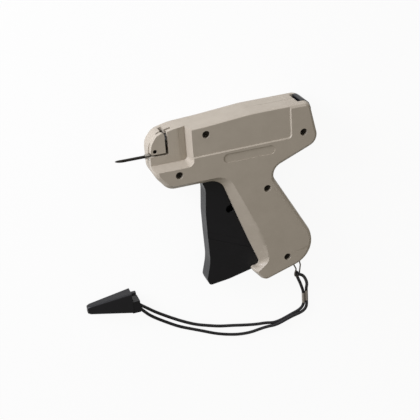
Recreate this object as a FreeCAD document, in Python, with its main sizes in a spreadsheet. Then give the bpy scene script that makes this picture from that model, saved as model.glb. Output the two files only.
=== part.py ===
import FreeCAD, Part
import Sketcher
import math
import os
import re

# Garment tag attacher, lying on its right side.
# Drawing frame: x from the nose face to the rear, y from the needle's axis to the top,
# z from the parting plane to the left side. Every piece is then moved to the part's own frame,
# whose origin is under the middle of the part on the surface that it lies on.

Vector = FreeCAD.Vector
doc = FreeCAD.newDocument("GarmentTagAttacher")
sheet = doc.addObject("Spreadsheet::Sheet", "Sizes")
usedRows = []


def setSizes(values):
    for alias, value in values.items():
        usedRows.append(alias)
        cell = "B%d" % len(usedRows)
        sheet.set("A%d" % len(usedRows), alias)
        sheet.set(cell, "%.6g" % value)
        sheet.setAlias(cell, alias)
    sheet.recompute()


def size(alias):
    return float(getattr(sheet, alias))


def bind(item, prop, text):
    item.setExpression(prop, re.sub(r"\b([a-zA-Z]\w*)\b(?!\s*\()", r"Sizes.\1", str(text)))


def place(item, x="0", y="0", z="0"):
    bind(item, "Placement.Base.x", x)
    bind(item, "Placement.Base.y", y)
    bind(item, "Placement.Base.z", z)
    return item


setSizes({
    "caseLength": 124.0,
    "caseHeight": 134.4,
    "caseWidth": 28.0,
    "wall": 2.2,
    "flatGap": 0.3,
    "pinGap": 0.05,
    "overrun": 1.0,
    "edgeDepth": 4.0,
    "needleReach": 23.3,
    "eyeReach": 122.0,
    "buttonTop": 23.8,
    "pivotRadius": 2.0,
    "leverPinRadius": 2.0,
    "rollerRadius": 1.5,
    "bossRadius": 3.6,
    "screwShank": 1.4,
    "screwHead": 2.3,
    "screwSeat": 9.0,
    "screwHeadHeight": 1.8,
    "counterbore": 2.7,
    "postRadius": 3.5,
    "screwDepth": 9.0,
    "triggerHalf": 6.0,
    "slotSide": 0.5,
    "leverTilt": 24.8,
    "recessFloor": 5.0,
    "recessTaper": 14.0,
    "panelDepth": 0.9,
    "panelTaper": 40.0,
    "badgeDepth": 0.5,
    "badgeLength": 38.4,
    "badgeWidth": 6.7,
    "noseCavityFront": 8.0,
    "noseCavityRear": 33.0,
    "channelFront": 6.5,
    "channelRear": 17.5,
    "channelHalf": 1.3,
    "channelFloor": 1.1,
    "leverGapRear": 13.6,
    "filamentSlotLow": 0.35,
    "filamentSlotHigh": 1.8,
    "rodRadius": 0.6,
    "rodGap": 0.3,
    "buttonFront": 108.6,
    "buttonHalf": 8.0,
    "buttonSill": 12.0,
    "railInner": 5.3,
    "railOuter": 7.5,
    "railLow": 3.5,
    "baseRear": 6.4,
    "baseFront": 0.3,
    "baseTop": 1.15,
    "baseSaddle": 0.8,
    "baseBottom": 2.6,
    "baseHalf": 2.6,
    "ledgeWall": 10.2,
    "axleRadius": 1.0,
    "wheelY": 7.6,
    "wheelZ": 6.0,
    "axleFront": 4.0,
    "axleRear": 24.5,
    "pawlY": 6.8,
    "pawlZ": 7.0,
    "pawlPinFront": 16.0,
    "ribFront": 23.2,
    "ribRear": 25.4,
    "springRibFront": 100.0,
    "springRibRear": 101.5,
    "clipRadius": 0.55,
    "clipGroove": 0.6,
    "lockPinRadius": 1.35,
    "lockPinX": 3.9,
    "lockPinY": 4.2,
    "lockPinDepth": 4.6,
    "driveSlot": 0.7,
    "driveDepth": 0.8,
    "screwEdge": 0.2,
    "lockLow": 0.15,
    "lockHigh": 5.0,
    "needleRadius": 1.05,
    "needleBore": 0.7,
    "needleSlot": 0.8,
    "slotTilt": 13.5,
    "tipBevel": 9.0,
    "collarRadius": 1.7,
    "collarFront": 2.5,
    "bladeFront": 8.8,
    "bladeRear": 15.2,
    "bladeLow": 0.9,
    "bladeTop": 2.7,
    "bladeNear": 1.6,
    "bladeFar": 2.4,
    "triggerPlate": 1.6,
    "hubRadius": 5.0,
    "notchRadius": 3.0,
    "triggerTurn": 20.0,
    "leverHalf": 2.0,
    "armHalf": 3.4,
    "forkHalf": 4.4,
    "forkDepth": 7.2,
    "forkSide": 0.6,
    "lowerArmAngle": 48.3,
    "lugRadius": 2.4,
    "lugHole": 0.9,
    "sliderPinRadius": 1.5,
    "sliderHalfHigh": 5.0,
    "sliderHalfWide": 5.5,
    "cheekInner": 2.8,
    "sliderFront": 12.0,
    "sliderWall": 4.0,
    "sliderRear": 4.0,
    "rodTip": 17.5,
    "teeth": 10,
    "wheelTip": 5.4,
    "wheelRoot": 3.8,
    "wheelFront": 9.2,
    "wheelBack": 14.8,
    "ratchetFront": 19.0,
    "ratchetBack": 21.6,
    "ratchetTip": 5.0,
    "ratchetRoot": 4.2,
    "sleeveRadius": 2.4,
    "pawlFront": 19.2,
    "pawlBack": 21.4,
    "pawlTop": 2.0,
    "pawlHalf": 1.2,
    "pawlHub": 2.4,
    "pawlTailFront": 21.3,
    "pawlTailRear": 23.9,
    "pawlTailLow": 13.2,
    "pawlTailHalf": 1.9,
    "buttonSide": 0.3,
    "buttonTravel": 2.0,
    "buttonStart": 111.0,
    "barLow": 7.9,
    "barHigh": 9.1,
    "barNear": 6.2,
    "barFar": 7.8,
    "barTip": 27.9,
    "buttonSpringRadius": 2.0,
    "buttonSpringInner": 1.3,
    "buttonSpringY": 10.0,
    "returnRadius": 1.8,
    "returnInner": 1.2,
    "hookLength": 5.0,
    "hookRadius": 0.4,
    "springPostRadius": 1.8,
    "clipWire": 0.55,
    "cordRadius": 1.2,
    "crimpTop": 144.2,
    "crimpLength": 9.0,
    "crimpX": 118.3,
    "crimpRadius": 1.35,
    "crimpSpacing": 2.6,
    "crimpRise": 2.0,
    "capWall": 1.3,
    "capMouthX": 21.8,
    "capTipX": 54.6,
    "capHeight": 9.7,
    "capTipHeight": 5.1,
    "capMouthHigh": 106.8,
    "capMouthLow": 123.6,
    "capTipHigh": 112.7,
    "capTipLow": 118.6,
    "capRim": 0.6,
    "latchLength": 3.4,
    "latchLow": 109.4,
    "latchFoot": 5.8,
    "latchTop": 8.6,
    "tailLength": 5.6,
    "tailLow": 123.6,
    "tailHigh": 114.1,
    "tailHeight": 9.5,
    "capEnd": 2.0,
})

rearShare = 0.97863
topShare = 0.16815
originX = "((caseLength * %s - needleReach) / 2)" % rearShare
originY = "((caseHeight * %s - eyeReach) / 2)" % topShare
originZ = "(caseWidth / 2)"


def fromShares(share):
    return "caseLength * %s" % share[0], "caseHeight * %s" % share[1]


def cornersOf(shares):
    return [(x * size("caseLength"), y * size("caseHeight"), r * size("caseLength")) for x, y, r in shares]


def roundedPath(points, closed=True):
    """Straight runs joined by tangent arcs; each point is (Vector, radius)."""
    count = len(points)
    turns = []
    for index in range(count):
        spot, radius = points[index]
        if not closed and index in (0, count - 1):
            turns.append((spot, spot, None))
            continue
        before = points[index - 1][0]
        after = points[(index + 1) % count][0]
        back = (before - spot)
        ahead = (after - spot)
        backLength, aheadLength = back.Length, ahead.Length
        back.normalize()
        ahead.normalize()
        half = (math.pi - back.getAngle(ahead)) / 2
        tangent = min(radius * math.tan(half), min(backLength, aheadLength) * 0.48)
        radius = tangent / math.tan(half)
        inward = back + ahead
        inward.normalize()
        middle = spot + inward * (radius / math.cos(half) - radius)
        turns.append((spot + back * tangent, spot + ahead * tangent, middle if tangent > 0 else None))
    edges = []
    for index in range(count):
        start, end, middle = turns[index]
        if middle is not None:
            edges.append(Part.Arc(start, middle, end).toShape())
        if closed or index < count - 1:
            following = turns[(index + 1) % count][0]
            if (following - end).Length > size("pinGap") / 1000:
                edges.append(Part.LineSegment(end, following).toShape())
    return Part.Wire(edges)


def outline(corners):
    return roundedPath([(Vector(x, y, 0), r) for x, y, r in corners])


def section(name, corners, z="0", asWire=False):
    item = doc.addObject("Part::Feature", name)
    wire = outline(corners)
    item.Shape = wire if asWire else Part.Face(wire)
    return place(item, z=z)


def plate(name, corners, low, high):
    """A flat piece with the outline, between two heights."""
    profile = section(name + "Outline", corners, low)
    item = doc.addObject("Part::Extrusion", name)
    item.Base = profile
    item.DirMode = "Custom"
    item.Dir = Vector(0, 0, 1)
    bind(item, "LengthFwd", "(%s) - (%s)" % (high, low))
    item.Solid = True
    return item


def box(name, x0, x1, y0, y1, z0, z1):
    item = doc.addObject("Part::Box", name)
    bind(item, "Length", "(%s) - (%s)" % (x1, x0))
    bind(item, "Width", "(%s) - (%s)" % (y1, y0))
    bind(item, "Height", "(%s) - (%s)" % (z1, z0))
    return place(item, x0, y0, z0)


def rod(name, radius, low, high, x="0", y="0", along="z"):
    """A cylinder along z at (x, y), or along x at (y, z), between two stations."""
    item = doc.addObject("Part::Cylinder", name)
    bind(item, "Radius", radius)
    bind(item, "Height", "(%s) - (%s)" % (high, low))
    if along == "z":
        return place(item, x, y, low)
    item.Placement = FreeCAD.Placement(Vector(), FreeCAD.Rotation(Vector(0, 1, 0), 90))
    return place(item, low, x, y)


def cut(name, base, tools):
    for index, tool in enumerate(tools):
        item = doc.addObject("Part::Cut", name if index == len(tools) - 1 else "%sStep%d" % (name, index))
        item.Base = base
        item.Tool = tool
        base = item
    return item


def fuse(name, items):
    item = doc.addObject("Part::MultiFuse", name)
    item.Shapes = items
    return item


def loft(name, sections):
    item = doc.addObject("Part::Loft", name)
    item.Sections = sections
    item.Solid = True
    item.Ruled = True
    return item


def pinBody(name, radius, low, high, x, y, along="z", edge=None):
    """A turned pin: a sketched circle padded along its axis, with chamfered ends."""
    body = doc.addObject("PartDesign::Body", name)
    sketch = body.newObject("Sketcher::SketchObject", name + "Circle")
    role = "XY_Plane" if along == "z" else "YZ_Plane"
    plane = [item for item in body.Origin.OriginFeatures if item.Role == role][0]
    sketch.AttachmentSupport = [(plane, "")]
    sketch.MapMode = "FlatFace"
    sketch.addGeometry(Part.Circle(Vector(), Vector(0, 0, 1), 1), False)
    sketch.addConstraint(Sketcher.Constraint("Radius", 0, 1))
    sketch.addConstraint(Sketcher.Constraint("Coincident", 0, 3, -1, 1))
    bind(sketch, "Constraints[0]", radius)
    pad = body.newObject("PartDesign::Pad", name + "Length")
    pad.Profile = sketch
    bind(pad, "Length", "(%s) - (%s)" % (high, low))
    if edge:
        doc.recompute([sketch, pad])
        chamfer = body.newObject("PartDesign::Chamfer", name + "Ends")
        chamfer.Base = (pad, ["Edge1", "Edge3"])
        bind(chamfer, "Size", edge)
    return (body, x, y, low) if along == "z" else (body, low, x, y)


nodes = []


def finish(item, label, x="0", y="0", z="0"):
    item.Label = label
    place(item, "%s - %s" % (x, originX), "%s - %s" % (y, originY), "%s + %s" % (z, originZ))
    nodes.append(item)


def finishPin(made, label):
    body, x, y, z = made
    finish(body, label, x, y, z)


# Where the pins and screws stand in the side view
triggerPivotShare = (0.3306, -0.1190)
leverPinShare = (0.5266, -0.3222)
rollerShare = (0.5903, -0.5067)
springLugShare = (0.6089, -0.3981)
springPostShare = (0.7097, -0.7552)
screwShares = ((0.1398, -0.0950), (0.3116, 0.0969), (0.8882, 0.0106), (0.6535, -0.2684), (0.7608, -0.7051))
pivotX, pivotY = fromShares(triggerPivotShare)
leverX, leverY = fromShares(leverPinShare)
rollerX, rollerY = fromShares(rollerShare)
lugX, lugY = fromShares(springLugShare)
postX, postY = fromShares(springPostShare)

# The case's outline at the parting plane and the crease round its side face; x, y and corner radius
outerShares = (
    (0.0016, 0.0565, 0.0968), (0.0548, 0.1146, 0.0806), (0.1532, 0.1354, 0.3226), (0.3306, 0.1451, 0.6452), (0.5806, 0.1659, 0.9677),
    (0.9355, 0.1689, 0.0363), (0.9887, -0.0558, 0.0726), (0.6750, -0.1749, 0.0661), (1.0032, -0.7187, 0.2194), (0.6129, -0.8311, 0.0403),
    (0.5323, -0.7403, 0.0121), (0.6065, -0.7388, 0.0403), (0.5395, -0.5774, 0.4839), (0.3863, -0.1734, 0.0968), (0.0782, -0.1741, 0.0806), (0.0016, -0.0848, 0.0806),
)
creaseShares = (
    (0.0226, 0.0491, 0.0726), (0.0677, 0.0997, 0.0726), (0.1548, 0.1205, 0.3226), (0.3306, 0.1302, 0.6452), (0.5806, 0.1510, 0.9677),
    (0.9194, 0.1533, 0.0242), (0.9629, -0.0469, 0.0565), (0.6403, -0.1637, 0.0887), (0.9677, -0.7054, 0.1952), (0.6226, -0.8051, 0.0282),
    (0.5661, -0.7619, 0.0121), (0.6476, -0.7054, 0.0565), (0.6258, -0.5655, 0.4839), (0.4226, -0.1481, 0.1129), (0.0871, -0.1481, 0.0685), (0.0242, -0.0789, 0.0645),
)
# how far the side has come in towards the crease at the middle height of the edge band
middleShares = (0.29, 0.29, 0.29, 0.29, 0.29, 0.29, 0.29, 0.29, 0.29, 0.35, 0.7, 0.7, 0.7, 0.7, 0.7, 0.45)
middleHeightShare = 0.7
cavityShares = (
    (0.2500, -0.1406, 0.0161), (0.2500, 0.1235, 0.0161), (0.5806, 0.1481, 0.9677), (0.9145, 0.1503, 0.0242), (0.9645, -0.0439, 0.0484), (0.6452, -0.1652, 0.0847),
    (0.9726, -0.7068, 0.1952), (0.6532, -0.7991, 0.0161), (0.6403, -0.7292, 0.0161), (0.4113, -0.1406, 0.1129),
)
slotShares = (
    (0.2742, -0.2009, 0.0081), (0.2742, -0.1190, 0.0081), (0.4274, -0.1190, 0.0081), (0.6653, -0.7106, 0.0081), (0.6653, -0.7433, 0.0081), (0.5806, -0.7760, 0.0081),
    (0.3871, -0.8110, 0.0081), (0.3871, -0.2009, 0.0081),
)
# flat on the lowest post, which the foot of the trigger swings past
postFlatShares = ((0.7242, -0.6990, 0.0016), (0.7669, -0.6723, 0.0016), (0.7444, -0.6414, 0.0016), (0.7016, -0.6682, 0.0016))


def shellSide(name, sign):
    outer = cornersOf(outerShares)
    crease = cornersOf(creaseShares)
    middle = []
    for first, last, share in zip(outer, crease, middleShares):
        middle.append(tuple(a + (b - a) * share for a, b in zip(first, last)))
    stations = (
        (outer, "0"),
        (outer, "caseWidth / 2 - edgeDepth"),
        (middle, "caseWidth / 2 - edgeDepth * %s" % (1 - middleHeightShare)),
        (crease, "caseWidth / 2"),
    )
    parts = []
    for index, (corners, height) in enumerate(stations):
        parts.append(section("%sSection%d" % (name, index), corners, "%d * (%s)" % (sign, height), True))
    return loft(name + "Solid", parts)


recessShares = ((-0.0403, -0.0439, 0.0040), (0.2138, -0.0439, 0.0202), (0.2138, 0.2381, 0.0040), (-0.0403, 0.2381, 0.0040))
panelShares = ((0.2097, -0.0126, 0.0040), (0.8105, -0.0045, 0.0161), (0.8105, 0.2381, 0.0040), (0.2097, 0.2381, 0.0040))
badgeShare = (0.5556, -0.0521)
clipShares = ((0.8266, -0.7321), (0.8411, -0.8199), (0.8589, -0.8586), (0.8484, -0.8839), (0.8492, -0.9055),
              (0.8774, -0.9055), (0.8802, -0.8780), (0.8871, -0.8363), (0.8782, -0.7961), (0.8661, -0.7232))
clipBendShares = (0.0000, 0.0242, 0.0177, 0.0129, 0.0113, 0.0113, 0.0202, 0.0177, 0.0242, 0.0000)

sliderX = "(%s - %s * tan(leverTilt * 1deg))" % (leverX, leverY)
sliderFullX = "(%s + %s * tan(leverTilt * 1deg))" % (leverX, leverY)


def clipWire(name, radius):
    points = []
    for (x, y), bend in zip(clipShares, clipBendShares):
        points.append((Vector(x * size("caseLength"), y * size("caseHeight"), 0), bend * size("caseLength")))
    return tube(name, points, radius)


def tube(name, points, radius):
    """A round wire or cord along straight runs and tangent arcs."""
    spine = doc.addObject("Part::Feature", name + "Route")
    path = roundedPath(points, closed=False)
    spine.Shape = path
    start = points[0][0]
    heading = points[1][0] - points[0][0]
    ring = doc.addObject("Part::Feature", name + "Ring")
    ring.Shape = Part.Wire([Part.Circle(start, heading, size(radius)).toShape()])
    sweep = doc.addObject("Part::Sweep", name)
    sweep.Sections = [ring]
    sweep.Spine = (spine, ["Edge%d" % (index + 1) for index in range(len(path.Edges))])
    sweep.Solid = True
    sweep.Frenet = False
    expected = path.Length * math.pi * size(radius) ** 2
    doc.recompute([ring, spine, sweep])
    print(name, "volume over section times length: %.4f" % (sweep.Shape.Volume / expected))
    return sweep


def shellParts(side, sign):
    """Posts, bosses, rails and cuts that both halves of the case have."""
    inner = "%d * (caseWidth / 2 - wall - panelDepth)" % sign
    def upright(name, radius, low, high, x, y):
        ends = (low, high) if sign > 0 else ("-(%s)" % high, "-(%s)" % low)
        return rod(side + name, radius, ends[0], ends[1], x, y)
    def block(name, x0, x1, y0, y1, low, high):
        ends = (low, high) if sign > 0 else ("-(%s)" % high, "-(%s)" % low)
        return box(side + name, x0, x1, y0, y1, ends[0], ends[1])
    depth = "caseWidth / 2 - wall"
    added = [
        upright("PivotBoss", "pivotRadius + wall", "triggerHalf + slotSide", depth, pivotX, pivotY),
        upright("LeverBoss", "leverPinRadius + wall", "triggerHalf + slotSide", depth, leverX, leverY),
        block("RailLow", "ribRear + flatGap + wall * 4", sliderX + " + wall * 5",
              "-railOuter", "-railInner", "railLow", depth),
        block("RailHigh", "ribRear + flatGap + wall * 4", sliderX + " + wall * 5",
              "railInner", "railOuter", "railLow", depth),
        block("SpringRib", "springRibFront", "springRibRear", "railOuter", "buttonTop - wall", "0",
              "buttonHalf - wall"),
    ]
    for index, share in enumerate(screwShares):
        x, y = fromShares(share)
        added.append(upright("Post%d" % index, "postRadius", "0", depth, x, y))
    removed = [
        upright("PivotHole", "pivotRadius + pinGap", "-overrun", depth, pivotX, pivotY),
        upright("LeverHole", "leverPinRadius + pinGap", "-overrun", depth, leverX, leverY),
        plate(side + "TriggerSlot", cornersOf(slotShares),
              "-overrun" if sign > 0 else "-(triggerHalf + slotSide)",
              "triggerHalf + slotSide" if sign > 0 else "overrun"),
        plate(side + "PostFlat", cornersOf(postFlatShares),
              "-overrun" if sign > 0 else "-(triggerHalf + slotSide)",
              "triggerHalf + slotSide" if sign > 0 else "overrun"),
        block("ButtonSlot", "buttonFront", "caseLength + wall", "buttonSill", "buttonTop + wall * 2",
              "-overrun", "buttonHalf"),
        rod(side + "RodBore", "rodRadius + rodGap", "baseRear - overrun", "noseCavityRear", "0", "0", "x"),
        rod(side + "CollarSeat", "collarRadius + pinGap", "-collarFront", "baseFront + overrun + pinGap", "0", "0", "x"),
        block("BaseSeat", "baseFront - overrun * 2", "baseRear", "-baseBottom", "baseTop", "-overrun", "baseHalf"),
        clipWire(side + "ClipGroove", "clipGroove"),
    ]
    return added, removed


# Left half: the side that shows
leftAdded, leftRemoved = shellParts("left", 1)
leftCavity = plate("leftCavity", cornersOf(cavityShares), "-overrun", "caseWidth / 2 - wall - panelDepth")
leftNose = box("leftNoseCavity", "channelRear + wall", "noseCavityRear", "-ledgeWall", "caseHeight * %s" % 0.1079,
               "-overrun", "recessFloor - wall")
leftChin = box("leftChinCavity", "noseCavityFront + wall", "noseCavityRear", "caseHeight * %s" % -0.1406,
               "-ledgeWall", "-overrun", "caseWidth / 2 - wall * 2")
recess = plate("recess", cornersOf(recessShares), "recessFloor", "caseWidth / 2 + overrun")
bind(recess, "TaperAngle", "recessTaper")
panel = plate("panel", cornersOf(panelShares), "caseWidth / 2 - panelDepth", "caseWidth / 2 + overrun")
bind(panel, "TaperAngle", "panelTaper")
badgeX, badgeY = fromShares(badgeShare)
badge = fuse("badge", [
    box("badgeBar", "%s - (badgeLength - badgeWidth) / 2" % badgeX, "%s + (badgeLength - badgeWidth) / 2" % badgeX,
        "%s - badgeWidth / 2" % badgeY, "%s + badgeWidth / 2" % badgeY,
        "caseWidth / 2 - badgeDepth", "caseWidth / 2 + overrun"),
    rod("badgeFront", "badgeWidth / 2", "caseWidth / 2 - badgeDepth", "caseWidth / 2 + overrun",
        "%s - (badgeLength - badgeWidth) / 2" % badgeX, badgeY),
    rod("badgeRear", "badgeWidth / 2", "caseWidth / 2 - badgeDepth", "caseWidth / 2 + overrun",
        "%s + (badgeLength - badgeWidth) / 2" % badgeX, badgeY),
])
noseGap = box("noseGap", "-wall * 3", "leverGapRear", "filamentSlotLow", "buttonTop + wall", "-overrun",
              "caseWidth / 2 + overrun")
leftChannel = box("leftChannel", "channelFront", "channelRear", "-channelFloor", "buttonTop + wall",
                  "-overrun", "channelHalf")
counterbores = []
for index, share in enumerate(screwShares):
    x, y = fromShares(share)
    counterbores.append(rod("counterbore%d" % index, "counterbore", "screwSeat", "caseWidth / 2 + overrun", x, y))
    counterbores.append(rod("screwHole%d" % index, "screwShank + pinGap * 2", "-overrun", "screwSeat + overrun", x, y))
leftHollow = cut("leftHollow", shellSide("left", 1), [leftCavity, leftNose, leftChin])
leftFilled = doc.addObject("Part::MultiCommon", "leftAddedInside")
leftFilled.Shapes = [fuse("leftAdded", leftAdded), shellSide("leftLimit", 1)]
leftShell = cut("leftShell", fuse("leftWhole", [leftHollow, leftFilled]),
                leftRemoved + [recess, panel, badge, noseGap, leftChannel] + counterbores)
finish(leftShell, "left_shell")

# Right half: the side that it lies on
rightAdded, rightRemoved = shellParts("right", -1)
rightCavity = plate("rightCavity", cornersOf(cavityShares), "-(caseWidth / 2 - wall)", "overrun")
rightNose = box("rightNoseCavity", "noseCavityFront", "noseCavityRear", "caseHeight * %s" % -0.1406,
                "caseHeight * %s" % 0.1027, "-(caseWidth / 2 - wall)", "overrun")
rightAdded += [
    box("axleRib", "ribFront", "ribRear", "-channelFloor * 4", "caseHeight * %s" % 0.1004,
        "-(caseWidth / 2 - wall)", "0"),
    box("guideFront", "channelFront", "noseCavityFront + flatGap", "-channelFloor", "wheelY + wall * 3",
        "-channelHalf - wall / 2", "-channelHalf"),
    box("guideRear", "channelRear - wall", "channelRear", "-channelFloor * 2", "wheelY + wall * 3",
        "-channelHalf - wall / 2", "-channelHalf"),
    box("bladeSeat", "noseCavityFront", "channelRear + wall", "-channelFloor * 4", "-channelFloor",
        "-(wheelZ - wall)", "0"),
    rod("pawlBoss", "axleRadius + wall / 2", "noseCavityFront", "channelRear", "-pawlY", "-pawlZ", "x"),
    box("pawlWeb", "noseCavityFront", "channelRear", "-pawlY - wall / 2", "-pawlY + wall / 2",
        "-(caseWidth / 2 - wall)", "-pawlZ"),
]
rightRemoved += [
    box("rightChannel", "channelFront", "channelRear", "-channelFloor", "buttonTop + wall", "-channelHalf", "overrun"),
    rod("axleHole", "axleRadius + pinGap", "axleFront", "axleRear + overrun * 2", "wheelY", "-wheelZ", "x"),
    rod("pawlHole", "axleRadius + pinGap", "noseCavityFront", "channelRear + overrun", "-pawlY", "-pawlZ", "x"),
    rod("lockPinHole", "lockPinRadius + pinGap", "-lockPinDepth", "overrun", "lockPinX", "lockPinY"),
]
for index, share in enumerate(screwShares):
    x, y = fromShares(share)
    rightRemoved.append(rod("pilotHole%d" % index, "screwShank + pinGap", "-screwDepth - overrun / 2", "overrun", x, y))
rightHollow = cut("rightHollow", shellSide("right", -1), [rightCavity, rightNose])
rightFilled = doc.addObject("Part::MultiCommon", "rightAddedInside")
rightFilled.Shapes = [fuse("rightAdded", rightAdded), shellSide("rightLimit", -1)]
rightShell = cut("rightShell", fuse("rightWhole", [rightHollow, rightFilled]), rightRemoved)
finish(rightShell, "right_shell")

# Screws: one group of five separate solids
screws = []
for index, share in enumerate(screwShares):
    x, y = fromShares(share)
    whole = fuse("screw%d" % index, [
        rod("screwHead%d" % index, "screwHead", "screwSeat", "screwSeat + screwHeadHeight", x, y),
        rod("screwShank%d" % index, "screwShank", "-screwDepth", "screwSeat + screwEdge", x, y),
    ])
    drive = [
        box("driveA%d" % index, "%s - screwShank" % x, "%s + screwShank" % x, "%s - driveSlot / 2" % y,
            "%s + driveSlot / 2" % y, "screwSeat + screwHeadHeight - driveDepth", "screwSeat + screwHeadHeight + overrun"),
        box("driveB%d" % index, "%s - driveSlot / 2" % x, "%s + driveSlot / 2" % x, "%s - screwShank" % y,
            "%s + screwShank" % y, "screwSeat + screwHeadHeight - driveDepth", "screwSeat + screwHeadHeight + overrun"),
    ]
    screws.append(cut("screwPiece%d" % index, whole, drive))
screwGroup = doc.addObject("Part::Compound", "screwGroup")
screwGroup.Links = screws
finish(screwGroup, "shell_screws")

# Needle lock lever and its pin
lockShares = ((0.0073, 0.0141, 0.0185), (0.0060, 0.0335, 0.0645), (0.0161, 0.0707, 0.0565), (0.0444, 0.1109, 0.0403), (0.0798, 0.1235, 0.0242), (0.0935, 0.1146, 0.0081), (0.0927, 0.0141, 0.0032))
lockBlank = plate("lockBlank", cornersOf(lockShares), "lockLow", "lockHigh")
lockLever = cut("lockLever", lockBlank, [
    rod("lockBore", "lockPinRadius + pinGap", "-overrun", "lockHigh + overrun", "lockPinX", "lockPinY"),
    box("lockChannel", "channelFront", "channelRear", "0", "buttonTop + wall", "-overrun", "channelHalf"),
])
finish(lockLever, "needle_lock_lever")
finishPin(pinBody("lockPin", "lockPinRadius", "-lockPinDepth", "lockHigh - flatGap", "lockPinX", "lockPinY",
                  edge="screwEdge"), "lock_lever_pin")

# Needle with its slot and oblique tip, and the metal base that holds it


def sideSlot(name, x0, x1, reach):
    item = doc.addObject("Part::Box", name)
    bind(item, "Length", "(%s) - (%s)" % (x1, x0))
    bind(item, "Width", "needleSlot")
    bind(item, "Height", reach)
    item.Placement = FreeCAD.Placement(Vector(), FreeCAD.Rotation(Vector(1, 0, 0), -size("slotTilt")))
    bind(item, "Placement.Base.x", x0)
    bind(item, "Placement.Base.y", "-needleSlot / 2")
    return item


tipProfile = doc.addObject("Part::Feature", "tipProfile")
tip, bevel, radius = size("needleReach"), size("tipBevel"), size("needleRadius")
tipProfile.Shape = Part.Face(Part.makePolygon([
    Vector(-tip - radius, 0, -radius), Vector(-tip, 0, -radius), Vector(-tip + bevel, 0, radius),
    Vector(-tip + bevel, 0, radius * 2), Vector(-tip - radius, 0, radius * 2), Vector(-tip - radius, 0, -radius)]))
place(tipProfile, y="-needleRadius * 2")
tipTool = doc.addObject("Part::Extrusion", "tipTool")
tipTool.Base = tipProfile
tipTool.DirMode = "Custom"
tipTool.Dir = Vector(0, 1, 0)
bind(tipTool, "LengthFwd", "needleRadius * 4")
tipTool.Solid = True
needleTube = cut("needleTube", rod("needleOuter", "needleRadius", "-needleReach", "baseRear", "0", "0", "x"),
                 [rod("needleInner", "needleBore", "-needleReach - overrun", "baseRear + overrun", "0", "0", "x"),
                  sideSlot("needleSlotCut", "-needleReach - overrun", "baseRear + overrun", "needleRadius * 2"), tipTool])
finish(needleTube, "needle")
needleBase = cut("needleBase", fuse("baseWhole", [
    box("baseBlock", "baseFront", "baseRear - pinGap", "-baseBottom + pinGap", "baseSaddle",
        "-baseHalf + pinGap", "baseHalf - pinGap"),
    rod("collar", "collarRadius", "-collarFront", "baseFront + overrun", "0", "0", "x"),
]), [rod("baseBore", "needleRadius + pinGap", "-collarFront - overrun", "baseRear + overrun", "0", "0", "x"),
     sideSlot("baseSlotCut", "-collarFront - overrun", "baseRear + overrun", "baseHalf * 2")])
finish(needleBase, "needle_base")

# Blade that parts each fastener from its clip
bladeBlank = box("bladeBlank", "bladeFront", "bladeRear", "-bladeLow", "bladeTop", "-bladeFar", "-bladeNear")
blade = doc.addObject("Part::Chamfer", "blade")
blade.Base = bladeBlank
doc.recompute([bladeBlank])
edgeIndex = min(range(len(bladeBlank.Shape.Edges)), key=lambda i: (
    -bladeBlank.Shape.Edges[i].CenterOfMass.y, bladeBlank.Shape.Edges[i].CenterOfMass.z)) + 1
blade.Edges = [(edgeIndex, size("bladeFar") - size("bladeNear") - size("pinGap"), size("bladeTop") / 2)]
finish(blade, "cutter_blade")

# Trigger, hollow towards the grip
triggerShares = (
    (0.2839, -0.1265, 0.0242), (0.2823, -0.1823, 0.0403), (0.3024, -0.2344, 0.0968), (0.2919, -0.3720, 0.4839), (0.2935, -0.4985, 0.7258), (0.2984, -0.6622, 0.3226), (0.2710, -0.7701, 0.0282),
    (0.2839, -0.8073, 0.0202), (0.4081, -0.7932, 0.2419), (0.6097, -0.7500, 0.0161), (0.6137, -0.7076, 0.0645), (0.4976, -0.4144, 0.4839), (0.4234, -0.2083, 0.0968), (0.3710, -0.0811, 0.0403), (0.3065, -0.0811, 0.0484),
)
hollowShares = (
    (0.3194, -0.2269, 0.0161), (0.3081, -0.3720, 0.4839), (0.3097, -0.4985, 0.7258), (0.3145, -0.6696, 0.0806), (0.3032, -0.7515, 0.0161), (0.3145, -0.7798, 0.0161), (0.3508, -0.7798, 0.0040),
    (0.3508, -0.8557, 0.0040), (0.7661, -0.8557, 0.0040), (0.7661, -0.0595, 0.0040), (0.3790, -0.0595, 0.0040), (0.3790, -0.1711, 0.0081),
)
earShares = ((0.4839, -0.4167, 0.0081), (0.6089, -0.4762, 0.0242), (0.6210, -0.5171, 0.0202), (0.5968, -0.5357, 0.0202), (0.5161, -0.5729, 0.0081))
outer = fuse("triggerWhole", [
    plate("triggerOuter", cornersOf(triggerShares), "-triggerHalf", "triggerHalf"),
    plate("triggerEar", cornersOf(earShares), "-triggerHalf", "triggerHalf"),
])
notchReach = "sqrt((%s - (%s))^2 + (%s - (%s))^2)" % (leverX, pivotX, leverY, pivotY)
alongX = (leverPinShare[0] - triggerPivotShare[0]) * size("caseLength")
alongY = (leverPinShare[1] - triggerPivotShare[1]) * size("caseHeight")
restAngle = math.degrees(math.atan2(alongY, alongX))
notchStart = restAngle - size("triggerTurn")


def sector(name, radius, grow):
    item = doc.addObject("Part::Cylinder", name)
    bind(item, "Radius", radius)
    bind(item, "Height", "triggerHalf * 2 + overrun * 4")
    bind(item, "Angle", "triggerTurn * 3" if grow else "360")
    item.Placement = FreeCAD.Placement(Vector(), FreeCAD.Rotation(Vector(0, 0, 1), notchStart if grow else 0))
    return place(item, pivotX, pivotY, "-triggerHalf - overrun * 2")


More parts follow.
